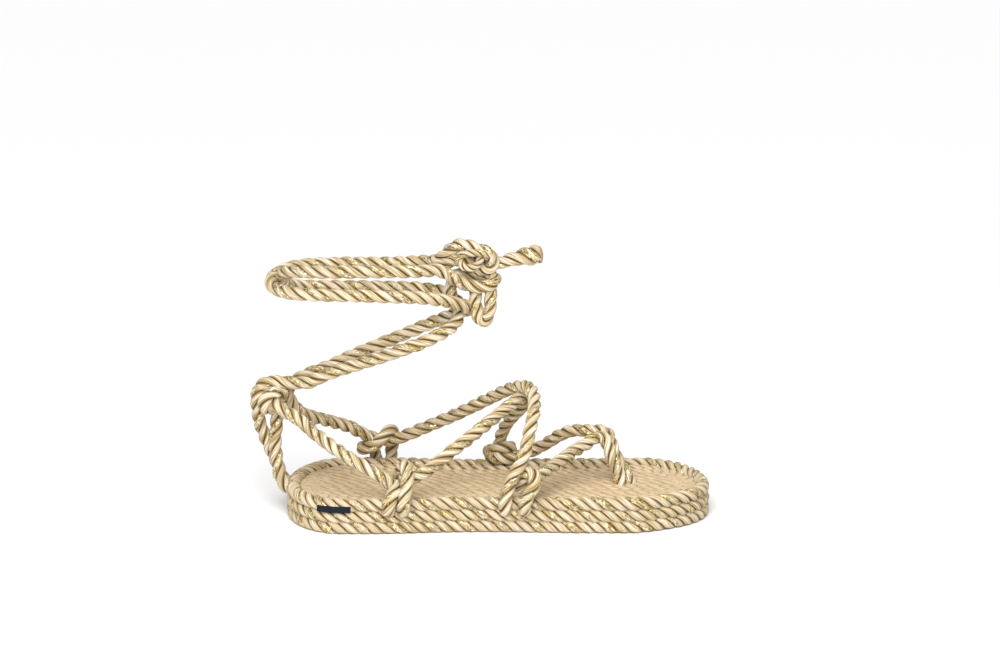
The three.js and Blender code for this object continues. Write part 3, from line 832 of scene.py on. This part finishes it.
class Laid:
    """Rings of a laid rope along a line, from which one or more pieces take their faces."""

    def __init__(
        self, line, seed, diameter=CRESTS, lay=STRAP_LAY, closed=False, sealed=False, start=None
    ):
        self.line, self.closed = line, closed
        dice = np.random.default_rng(seed)
        side, up = carried_frames(line, closed)

        # Whole turns in a closed rope
        run = np.linalg.norm(np.diff(line, axis=0), axis=1)
        self.along = np.concatenate([[0], np.cumsum(run)])
        whole = self.along[-1] + (np.linalg.norm(line[0] - line[-1]) if closed else 0)
        if closed:
            lay = whole / round(whole / lay)
        self.step = whole / (len(line) if closed else len(line) - 1)
        turned = dice.uniform(0, 2 * math.pi)
        start = turned if start is None else start
        self.tones = dice.uniform(0, 1, STRANDS)
        self.offset = dice.uniform(0, PATTERN_SHIFT)

        # A sealed end flares and then melts into one lump
        melt = np.zeros(len(line))
        if sealed:
            melt = np.clip(1 - (self.along[-1] - self.along) / SEAL_LENGTH, 0, 1)
            loose = (self.along[-1] - self.along - FLARE_PLACE) / FLARE_LENGTH
            diameter = diameter * (1 + FLARE * np.exp(-(loose**2)))[:, None]
        self.burnt = melt

        # The outsides of the strands, ring by ring
        out, across, self.shares = lobe_section()
        rings, depths = [], []
        for s in range(STRANDS):
            angle = start + 2 * math.pi * (s / STRANDS + self.along / lay)
            x, y = out[:-1] * diameter, across[:-1] * diameter
            far = np.hypot(x, y)
            fused = 1 + melt[:, None] * SEAL_FUSE * (SEAL_RADIUS * diameter / far - 1)
            swell = 1 + SWELLING * self.uneven(dice, whole)[:, None]
            cos, sin = np.cos(angle)[:, None], np.sin(angle)[:, None]
            a = (x * cos - y * sin) * fused * swell
            b = (x * sin + y * cos) * fused * swell
            rings.append(line[:, None] + a[..., None] * side[:, None] + b[..., None] * up[:, None])
            # Depth below the crests, from which the materials paint shade on the flanks and in the
            # grooves
            depths.append(np.broadcast_to(1 - 2 * np.hypot(out[:-1], across[:-1]), a.shape))
        self.points = np.concatenate(rings, axis=1)
        self.depths = np.concatenate(depths, axis=1)

    def uneven(self, dice, whole):
        """Slow swelling along a strand, from -1 to 1, which meets itself at the end."""
        waves = dice.integers(1, max(3, round(whole / SWELL_LENGTH)), SWELL_WAVES)
        phases = dice.uniform(0, 2 * math.pi, SWELL_WAVES)
        at = self.along[:, None] / whole * 2 * math.pi
        return np.sin(at * waves + phases).mean(axis=1)


def smooth_mesh(name, points, faces):
    mesh = bpy.data.meshes.new(name)
    mesh.from_pydata(points, [], faces)
    mesh.shade_smooth()
    mesh.set_sharp_from_angle(angle=math.radians(SHARP_DEG))
    return mesh


class Piece:
    """Gathers the faces of one or more ropes and makes them one mesh object."""

    def __init__(self, name):
        self.name, self.count = name, 0
        self.points, self.depth, self.burnt = [], [], []
        self.faces, self.maps, self.gold, self.tone = [], [], [], []

    def add(self, points, depth, burnt, faces, maps, gold, tone):
        self.faces += [[v + self.count for v in face] for face in faces]
        self.points.append(points)
        self.depth.append(depth)
        self.burnt.append(burnt)
        self.maps.append(maps)
        self.gold.append(gold)
        self.tone.append(tone)
        self.count += len(points)

    def add_rope(self, laid, first=0, last=None):
        """The faces between two of a rope's rings, and both ends if it is open."""
        last = len(laid.line) - 1 if last is None else last
        rings = laid.points[first : last + 1]
        count, around = rings.shape[:2]
        i, j = np.meshgrid(
            np.arange(count if laid.closed else count - 1), np.arange(around), indexing="ij"
        )
        k, n = (i + 1) % count, (j + 1) % around
        corners = ((i, j), (i, n), (k, n), (k, j))
        faces = np.stack([a * around + b for a, b in corners], axis=-1).reshape(-1, 4)
        lobe = LOBE_STEPS - 1
        near_share, far_share = laid.shares[j % lobe], laid.shares[j % lobe + 1]
        at = (laid.along[first : last + 1] + laid.offset)[i]
        maps = np.stack([
            np.stack([near_share, at], -1),
            np.stack([far_share, at], -1),
            np.stack([far_share, at + laid.step], -1),
            np.stack([near_share, at + laid.step], -1),
        ], axis=-2).reshape(-1, 2)
        strand = (j // lobe).ravel()
        self.add(
            rings.reshape(-1, 3),
            laid.depths[first : last + 1].ravel(),
            np.repeat(laid.burnt[first : last + 1], around),
            faces.tolist(),
            maps,
            strand == 0,
            laid.tones[strand],
        )
        if not laid.closed:
            self.add_end(laid, first, True)
            self.add_end(laid, last, False)

    def add_end(self, laid, at, backwards):
        """An end closed by shrunken rings and a middle point, domed where it is melted."""
        ring, middle = laid.points[at], laid.line[at]
        nearby = laid.line[at + 1] if backwards else laid.line[at - 1]
        ahead = (middle - nearby) / np.linalg.norm(middle - nearby)
        around = len(ring)
        bulge = END_BULGE * laid.burnt[at]
        rings = [ring]
        for share in END_RINGS:
            rings.append(middle + (ring - middle) * share + ahead * bulge * (1 - share**2))
        points = np.vstack([*rings, middle + ahead * bulge])
        faces = []
        for r in range(len(END_RINGS)):
            for j in range(around):
                n = (j + 1) % around
                outer, inner = r * around, (r + 1) * around
                quad = [outer + j, outer + n, inner + n, inner + j]
                faces.append(quad[::-1] if backwards else quad)
        last = len(END_RINGS) * around
        for j in range(around):
            fan = [last + j, last + (j + 1) % around, last + around]
            faces.append(fan[::-1] if backwards else fan)
        loops = sum(len(face) for face in faces)
        self.add(
            points,
            np.zeros(len(points)),
            np.full(len(points), laid.burnt[at]),
            faces,
            np.zeros((loops, 2)),
            np.zeros(len(faces)),
            np.full(len(faces), 0.5),
        )

    def make(self, material):
        mesh = smooth_mesh(self.name, np.vstack(self.points), self.faces)
        layer = mesh.uv_layers.new(name="Strand")
        layer.uv.foreach_set("vector", np.vstack(self.maps).astype(np.float32).ravel())
        for name, domain, values in (
            ("depth", "POINT", self.depth),
            ("burnt", "POINT", self.burnt),
            ("gold", "FACE", self.gold),
            ("tone", "FACE", self.tone),
        ):
            attribute = mesh.attributes.new(name, "FLOAT", domain)
            attribute.data.foreach_set("value", np.concatenate(values).astype(np.float32))
        mesh.materials.append(material)
        return placed(self.name, mesh)


# Rows of the sole
def rim_outline():
    """The rim's centre line, counter-clockwise from above."""
    turns = np.linspace(0, 2 * math.pi, OUTLINE_STEPS, endpoint=False)
    return np.array([rim_point(FAR if t <= math.pi else NEAR, math.cos(t)) for t in turns])


def row_line(outline, inwards, height):
    """A closed line that far inside the rim's centre line, at a height."""
    flat = np.hstack([outline, np.zeros((len(outline), 1))])
    flat = evenly(flat, OUTLINE_STEP, closed=True)
    ahead = directions(flat, True)
    moved = flat + np.stack([-ahead[:, 1], ahead[:, 0], 0 * ahead[:, 0]], axis=1) * inwards
    if inwards > 0:
        gaps = np.linalg.norm(moved[:, None, :2] - flat[None, :, :2], axis=-1).min(axis=1)
        moved = moved[gaps > inwards - ROW_SLACK]
    moved[:, 2] = height
    return evenly(moved, ROPE_STEP, closed=True)


def bed_line(across):
    """A straight line from the heel end to the toe end, tucked under the rim."""
    share = np.linspace(-1, 1, BED_SAMPLES)
    inside = [a for a in share if abs(across - rim_middle(a)) < rim_half_width(a) - BED_TUCK]
    if len(inside) < 2 or (inside[-1] - inside[0]) * RIM_END < BED_SHORTEST:
        return None
    ends = np.array([(a * RIM_END, across, 0) for a in (inside[0], inside[-1])])
    return evenly(ends, ROPE_STEP)


def pressed(laid, top=None, bottom=None):
    """Flattens a rope's rings against a height above or below."""
    z = laid.points[..., 2]
    middle = laid.line[:, 2:]
    if top is not None:
        room = top - middle
        z = np.where(z > middle, middle + room * np.tanh((z - middle) / room * PRESS_PULL), z)
    if bottom is not None:
        room = middle - bottom
        z = np.where(z < middle, middle - room * np.tanh((middle - z) / room * PRESS_PULL), z)
    laid.points[..., 2] = z
    return laid


def sole_row(name, outline, height, place, **press):
    """One of the three stacked rows, whose strands meet between those of the next."""
    start = place * (2 * math.pi / STRANDS + SOLE_STAGGER)
    line = row_line(outline, 0, height)
    row = Laid(line, SOLE_SEED + place, SOLE_CRESTS, SOLE_LAY, closed=True, start=start)
    piece = Piece(name)
    piece.add_rope(pressed(row, **press))
    return piece


def bed_row(line, seed, closed=False):
    return Laid(line, seed, BED_CRESTS, SOLE_LAY, closed=closed)


def bed_ring(outline, inwards, rise, seed):
    """A ring by the rim that stands up, except at the heel and toe."""
    line = row_line(outline, inwards, 0)
    standing = np.clip((BED_RISE_END - np.abs(line[:, :1])) / BED_RISE_RAMP, 0, 1)
    line[:, 2:] = FOOTBED_TOP + mix(-BED_HALF, rise - BED_CRESTS / 2, standing)
    ring = bed_row(line, seed, closed=True)
    flat = pressed(bed_row(line, seed, closed=True), top=FOOTBED_TOP + rise * standing)
    ring.points = mix(flat.points, ring.points, standing[..., None])
    # Painted groove shade, stronger where the ring stands up
    ring.depths = ring.depths * mix(BED_SHADE_FAINTER, RING_SHADE_STRONGER, standing)
    return ring


# Materials
class Nodes:
    """A material's nodes, made one at a time and linked by name."""

    def __init__(self, name):
        self.material = bpy.data.materials.new(name)
        self.material.use_nodes = True
        self.tree = self.material.node_tree
        self.shader = self.tree.nodes["Principled BSDF"]

    def add(self, kind, settings=(), **inputs):
        node = self.tree.nodes.new("ShaderNode" + kind)
        for key, value in dict(settings).items():
            setattr(node, key, value)
        for key, value in inputs.items():
            self.put(node.inputs[key], value)
        return node

    def put(self, socket, value):
        if isinstance(value, bpy.types.NodeSocket):
            self.tree.links.new(value, socket)
        else:
            socket.default_value = value

    def in_turn(self, node, values):
        """Fills the node's inputs in their order."""
        for socket, value in zip(node.inputs, values):
            self.put(socket, value)
        return node.outputs[0]

    def math(self, operation, *values):
        return self.in_turn(self.add("Math", {"operation": operation}), values)

    def times(self, first, second):
        return self.math("MULTIPLY", first, second)

    def plus(self, first, second):
        return self.math("ADD", first, second)

    def minus(self, first, second):
        return self.math("SUBTRACT", first, second)

    def attribute(self, name):
        return self.add("Attribute", {"attribute_name": name}).outputs["Fac"]

    def vector(self, *values):
        return self.in_turn(self.add("CombineXYZ"), values)

    def noise(self, place, detail, scale=1.0):
        node = self.add("TexNoise", Vector=place, Scale=scale, Detail=detail)
        return node.outputs["Fac"]

    def between(self, value, low, high):
        """0 at low, 1 at high."""
        return self.in_turn(self.add("MapRange"), (value, low, high, 0.0, 1.0))

    def blend(self, share, first, second, kind="MIX"):
        node = self.add("Mix", {"data_type": "RGBA", "blend_type": kind})
        self.put(node.inputs[0], share)
        self.put(node.inputs[6], first)
        self.put(node.inputs[7], second)
        return node.outputs[2]

    def bump(self, height, distance, strength, below=None):
        node = self.add("Bump", Height=height, Distance=distance, Strength=strength)
        if below is not None:
            self.put(node.inputs["Normal"], below)
        return node.outputs[0]


def rope_material(name, look):
    n = Nodes(name)
    places = n.add("SeparateXYZ", Vector=n.add("UVMap", {"uv_map": "Strand"}).outputs[0])
    tone, gold, depth, burnt = (n.attribute(a) for a in ("tone", "gold", "depth", "burnt"))
    across = n.times(places.outputs[0], HALF_STRAND)
    along = n.times(places.outputs[1], 1 / MM)
    seed = n.times(tone, PATTERN_SPREAD)
    slant = n.plus(across, n.times(along, YARN_SLANT))

    # Fibres, the yarns that they lie in, and broad streaks
    def grain(across_scale, along_scale, detail):
        place = n.vector(n.times(slant, across_scale), n.times(along, along_scale), seed)
        return place, n.noise(place, detail)

    fibre = grain(*FIBRE_GRAIN)[1]
    streak = grain(*STREAK_GRAIN)[1]
    cloud = grain(*CLOUD_GRAIN)[1]
    yarn = n.math("SINE", n.times(slant, 2 * math.pi / YARN_WIDTH))
    uneven = n.minus(fibre, 0.5)

    hue = n.blend(n.between(tone, *TONE_RANGE), look["pale"], look["warm"])
    colour = n.blend(n.between(streak, *LIGHT_STREAKS), hue, look["light"])
    colour = n.blend(n.between(streak, *DULL_STREAKS), colour, look["dull"])
    clouds = n.times(n.between(cloud, *DULL_CLOUDS), CLOUD_SHARE)
    colour = n.blend(clouds, colour, look["dull"])
    shade = n.plus(1.0, n.times(uneven, look["fibre"]))
    colour = n.blend(1.0, colour, n.vector(shade, shade, shade), "MULTIPLY")

    # Painted shade: darker flanks and grooves between the strands, by depth below the crests
    flank_shade = n.times(n.between(depth, *FLANK_SHADE_DEPTH), look["flank_shade_share"])
    colour = n.blend(flank_shade, colour, look["dull"])
    groove_shade = n.math("POWER", n.between(depth, *look["groove_shade_from_to"]), GROOVE_SHADE_CURVE)
    colour = n.blend(n.times(groove_shade, look["groove_shade_share"]), colour, look["groove_shade"])

    # Metallic thread in one strand of the three
    place, fleck = grain(*THREAD_GRAIN)
    patch = n.noise(n.vector(0.0, n.times(along, PATCH_GRAIN), seed), 1.0)
    amount = n.times(n.between(patch, *THREAD_PATCHES), gold)
    amount = n.times(amount, look["gold_amount"])
    thread = n.times(n.between(fleck, *THREADS), amount)
    glint = n.add("TexVoronoi", Vector=place, Scale=GLINT_GRAIN)
    chance = n.add("SeparateXYZ", Vector=glint.outputs["Color"])
    # Painted glints: cells of the thread are painted near white as glints, or painted dark as
    # unlit facets
    lit = n.between(chance.outputs[0], *LIGHT_GLINTS)
    unlit = n.between(chance.outputs[0], *DARK_GLINTS)
    gold_with_painted_glints = n.blend(lit, look["gold"], look["painted_gold_glint"])
    gold_with_painted_glints = n.blend(unlit, gold_with_painted_glints, look["painted_gold_shade"])
    colour = n.blend(thread, colour, gold_with_painted_glints)
    colour = n.blend(n.times(burnt, BURNT_SHARE), colour, look["burnt"])

    rough = n.plus(look["roughness"], n.times(uneven, FIBRE_ROUGHNESS))
    rough = n.minus(rough, n.times(thread, look["roughness"] - THREAD_ROUGHNESS))
    n.put(n.shader.inputs["Base Color"], colour)
    n.put(n.shader.inputs["Metallic"], n.times(thread, THREAD_METAL))
    n.put(n.shader.inputs["Roughness"], rough)
    n.shader.inputs["Sheen Weight"].default_value = look["sheen"]
    n.shader.inputs["Sheen Roughness"].default_value = SHEEN_ROUGHNESS
    n.shader.inputs["Specular IOR Level"].default_value = ROPE_SPECULAR

    relief = n.plus(n.times(yarn, YARN_RELIEF), n.plus(fibre, streak))
    surface = n.bump(relief, *FIBRE_BUMP)
    facet = n.times(chance.outputs[1], thread)
    n.put(n.shader.inputs["Normal"], n.bump(facet, *GLINT_BUMP, surface))
    return n.material


STRAP_LOOK = {
    "pale": (0.52, 0.42, 0.25, 1),
    "warm": (0.56, 0.45, 0.30, 1),
    "light": (0.87, 0.81, 0.70, 1),
    "dull": (0.27, 0.17, 0.045, 1),
    # Painted shade on the flanks and in the grooves between the strands
    "flank_shade_share": 0.36,
    "groove_shade": (0.07, 0.034, 0.004, 1),
    "groove_shade_share": 0.97,
    "groove_shade_from_to": (0.1, 0.34),
    "fibre": 1.1,
    "gold": (0.84, 0.60, 0.13, 1),
    # Painted glints and painted shade in the metallic thread's cells
    "painted_gold_glint": (1.0, 0.96, 0.75, 1),
    "painted_gold_shade": (0.32, 0.19, 0.02, 1),
    "gold_amount": 1.0,
    "burnt": (0.30, 0.17, 0.07, 1),
    "roughness": 0.5,
    "sheen": 0.0,
}
EDGE_LOOK = STRAP_LOOK | {
    "pale": (0.56, 0.46, 0.29, 1),
    "warm": (0.60, 0.49, 0.34, 1),
    "light": (0.69, 0.62, 0.515, 1),
    # Painted shade on the flanks and in the grooves of the sole's rows
    "flank_shade_share": 0.24,
    "groove_shade_from_to": (0.15, 0.35),
}
FOOTBED_LOOK = STRAP_LOOK | {
    "pale": (0.60, 0.465, 0.28, 1),
    "warm": (0.63, 0.485, 0.31, 1),
    "light": (0.70, 0.555, 0.38, 1),
    "dull": (0.46, 0.335, 0.185, 1),
    # Fainter painted shade in the footbed's grooves
    "groove_shade": (0.13, 0.07, 0.02, 1),
    "groove_shade_share": 0.7,
    "flank_shade_share": 0.2,
    "gold_amount": 0.0,
    "roughness": 0.8,
    "sheen": 0.04,
}


def tab_material():
    n = Nodes("tab_cloth")
    place = n.add("TexCoord").outputs["Object"]
    places = n.add("SeparateXYZ", Vector=place)
    warp = n.math("SINE", n.times(places.outputs[0], 2 * math.pi / TAB_WARP))
    weft = n.math("SINE", n.times(places.outputs[2], 2 * math.pi / TAB_WEFT))
    weave = n.times(warp, weft)
    fuzz = n.noise(place, 2.0, TAB_FUZZ)
    light = n.plus(n.times(n.between(weave, -1.0, 1.0), 0.5), n.times(fuzz, 0.5))
    n.put(n.shader.inputs["Base Color"], n.blend(light, TAB_DARK, TAB_LIGHT))
    n.shader.inputs["Roughness"].default_value = TAB_ROUGHNESS
    n.shader.inputs["Specular IOR Level"].default_value = TAB_SPECULAR
    n.put(n.shader.inputs["Normal"], n.bump(weave, *TAB_BUMP))
    return n.material


def plain_material(name, colour, roughness):
    n = Nodes(name)
    n.shader.inputs["Base Color"].default_value = colour
    n.shader.inputs["Roughness"].default_value = roughness
    return n.material


# Pieces
def finished(piece, node):
    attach(piece, BODY)
    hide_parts(node)
    return piece


def strap_line(points):
    return softened(evenly(curve_through(points), ROPE_STEP), SOFTENING)


def nearest_ring(line, point):
    return int(np.argmin(np.linalg.norm(line - np.array(point), axis=1)))


strap = rope_material("strap_rope", STRAP_LOOK)
edge = rope_material("edge_rope", EDGE_LOOK)
insole = rope_material("footbed_rope", FOOTBED_LOOK)

# Free cords first
CORDS = (
    ("hanging_bight", "knot_loop", hanging_loop, False),
    ("loose_end", "tie_end", tie_end, True),
)
cords = {}
for seed, (name, node, route, sealed) in enumerate(CORDS, start=CORD_SEED):
    line = strap_line(route)
    piece = Piece(name)
    piece.add_rope(Laid(line, seed, sealed=sealed))
    cords[node] = (finished(piece.make(strap), node), line)

# Ropes that run on from the heel through the ties into the knot
ties, knot = Piece("tie_ropes"), Piece("knot_ropes")
upper = Piece("strap_ropes")
LONG_ROPES = (
    (inner_riser, far_tie, knot_arch),
    (outer_riser, near_tie, knot_bend),
)
for seed, parts in enumerate(LONG_ROPES, start=LONG_SEED):
    line = strap_line([point for part in parts for point in part])
    laid = Laid(line, seed)
    first, second = (nearest_ring(line, part[-1]) for part in parts[:2])
    upper.add_rope(laid, 0, first)
    ties.add_rope(laid, first, second)
    knot.add_rope(laid, second)
knot.add_rope(Laid(strap_line(knot_eye), EYE_SEED, EYE_CRESTS, EYE_LAY))

UPPER_ROUTES = (
    near_thong,
    far_thong,
    far_fore_wrap,
    upper_instep,
    lower_instep,
    fore_wrap,
    middle_wrap,
    far_middle_hitch,
    near_heel_strap,
)
for seed, route in enumerate(UPPER_ROUTES, start=STRAP_SEED):
    upper.add_rope(Laid(strap_line(route), seed))

finished(upper.make(strap), "upper")
finished(ties.make(strap), "ankle_strap")
knot_piece = finished(knot.make(strap), "ankle_knot")

for name, far_end in (("knot_loop", "object"), ("tie_end", "bare")):
    piece, line = cords[name]

# Sole
outline = rim_outline()

rim = sole_row("rim_ring", outline, RIM_Z, place=0)
finished(rim.make(edge), "rim_rope")

middle_row = sole_row("middle_ring", outline, MIDSOLE_Z, place=1)
finished(middle_row.make(edge), "midsole")

bottom_row = sole_row("bottom_rows", outline, SOLE_HALF, place=2, bottom=0.0)
for k in range(1, SOLE_ROWS):
    line = row_line(outline, k * ROPE, SOLE_HALF)
    row = Laid(line, BOTTOM_SEED + k, BED_CRESTS, SOLE_LAY, closed=True)
    bottom_row.add_rope(pressed(row, bottom=0.0))
finished(bottom_row.make(edge), "outsole")

# Footbed
footbed = Piece("woven_footbed")
for seed, (inwards, rise) in enumerate(BED_RINGS, start=BED_RING_SEED):
    footbed.add_rope(bed_ring(outline, inwards, rise, seed))
for k in range(-SOLE_ROWS, SOLE_ROWS + 1):
    line = bed_line(k * ROPE)
    if line is not None:
        line[:, 2] = FOOTBED_TOP - BED_HALF
        row = pressed(bed_row(line, BED_ROW_SEED + k), top=FOOTBED_TOP)
        # Fainter painted groove shade on the flat rows
        row.depths = row.depths * BED_SHADE_FAINTER
        footbed.add_rope(row)
finished(footbed.make(insole), "footbed")


# Tab
def make_tab():
    """A strip of woven ribbon with rounded edges, bent along the side."""
    turns = np.linspace(0, 2 * math.pi, TAB_AROUND, endpoint=False)
    sin, cos = np.sin(turns), np.cos(turns)
    high = np.sign(sin) * np.abs(sin) ** TAB_FLATNESS * TAB_SEEN / 2
    thick = np.sign(cos) * np.abs(cos) ** TAB_ROUNDNESS * TAB_THICKNESS / 2
    out = CRESTS / 2 + TAB_THICKNESS / 2 + thick + high * TAB_LEAN
    rings = []
    for a in np.linspace(TAB_FROM, TAB_TO, TAB_STEPS):
        places = [by_rim(NEAR, a, o / ROPE, 0) for o in out]
        rings.append([(x, y, MIDSOLE_TOP + TAB_RISE + h) for (x, y, _), h in zip(places, high)])
    points = np.array(rings).reshape(-1, 3)
    faces = []
    for i in range(TAB_STEPS - 1):
        for j in range(TAB_AROUND):
            n = (j + 1) % TAB_AROUND
            a, b = i * TAB_AROUND, (i + 1) * TAB_AROUND
            faces.append((a + j, b + j, b + n, a + n))
    faces.append(tuple(range(TAB_AROUND)))
    faces.append(tuple(range(len(points) - 1, len(points) - 1 - TAB_AROUND, -1)))
    return placed("woven_tab", smooth_mesh("woven_tab", points, faces))


tab = make_tab()
tab.data.materials.append(tab_material())
finished(tab, "label_tab")


# Studio
def make_floor():
    mesh = bpy.data.meshes.new("floor")
    far = FLOOR_SIZE / 2
    corners = [(-far, -far, 0), (far, -far, 0), (far, far, 0), (-far, far, 0)]
    mesh.from_pydata(corners, [], [(0, 1, 2, 3)])
    mesh.materials.append(plain_material("floor", FLOOR_SHADE, FLOOR_ROUGHNESS))
    floor = placed("floor", mesh)
    floor.location.z = -FLOOR_GAP


def make_sun():
    data = bpy.data.lights.new("key", "SUN")
    data.energy = SUN_STRENGTH
    data.angle = math.radians(SUN_SPREAD)
    light = placed("key", data)
    light.rotation_euler = (math.radians(90 - SUN_HEIGHT), 0, math.radians(SUN_AZIMUTH))


def make_panel():
    data = bpy.data.lights.new("front", "AREA")
    data.size = PANEL_SIZE
    data.energy = PANEL_POWER
    light = placed("front", data)
    light.location = PANEL_PLACE
    aim = Vector(PANEL_AIM) - Vector(PANEL_PLACE)
    light.rotation_euler = aim.to_track_quat("-Z", "Y").to_euler()


def make_world():
    world = bpy.data.worlds.new("world")
    world.use_nodes = True
    background = world.node_tree.nodes["Background"]
    background.inputs["Color"].default_value = WORLD_SHADE
    background.inputs["Strength"].default_value = WORLD_STRENGTH
    bpy.context.scene.world = world


make_floor()
make_sun()
make_panel()
make_world()
bpy.context.scene.view_settings.view_transform = "Standard"
